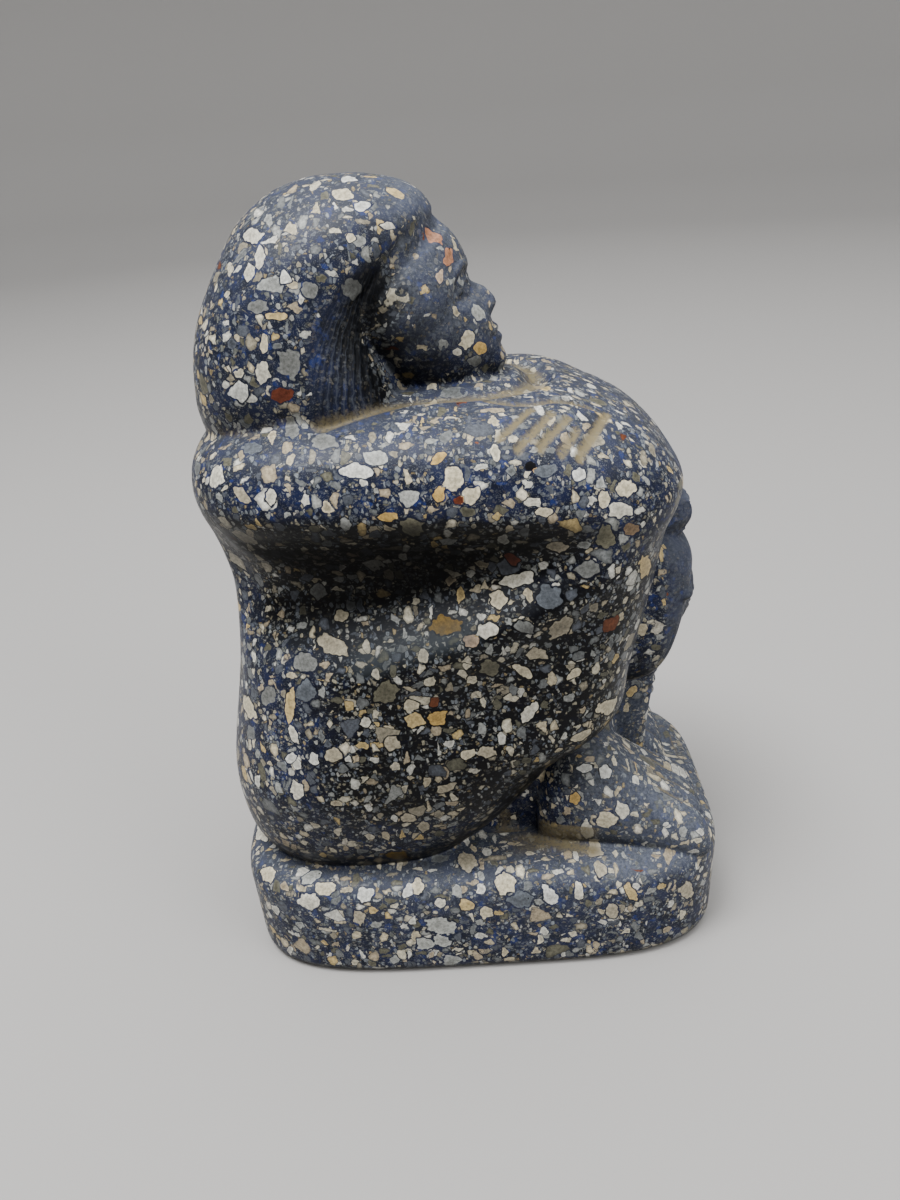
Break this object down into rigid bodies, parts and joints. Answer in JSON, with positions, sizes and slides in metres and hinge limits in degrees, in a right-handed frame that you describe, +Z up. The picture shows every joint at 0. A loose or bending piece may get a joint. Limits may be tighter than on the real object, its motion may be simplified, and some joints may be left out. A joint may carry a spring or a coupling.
{
  "type": "block statue",
  "caption": "Squatting block statue in a cloak, arms crossed on the knees, with a rattle emblem before the shins, cast in one with a low rounded plinth.",
  "frame": {"origin": "middle of the plinth's underside, at floor level", "axes": "+Z up, -Y the way the figure looks, +X the figure's left"},
  "size_m": [0.176, 0.2568, 0.386],
  "materials": {
    "cast_stone": "deep blue cast matrix full of cream, grey and ochre stone chips, polished on the high places, dusty and matte in the carving"
  },
  "bodies": {
    "root": {"block_statue": "cast_stone"}
  },
  "joints": []
}
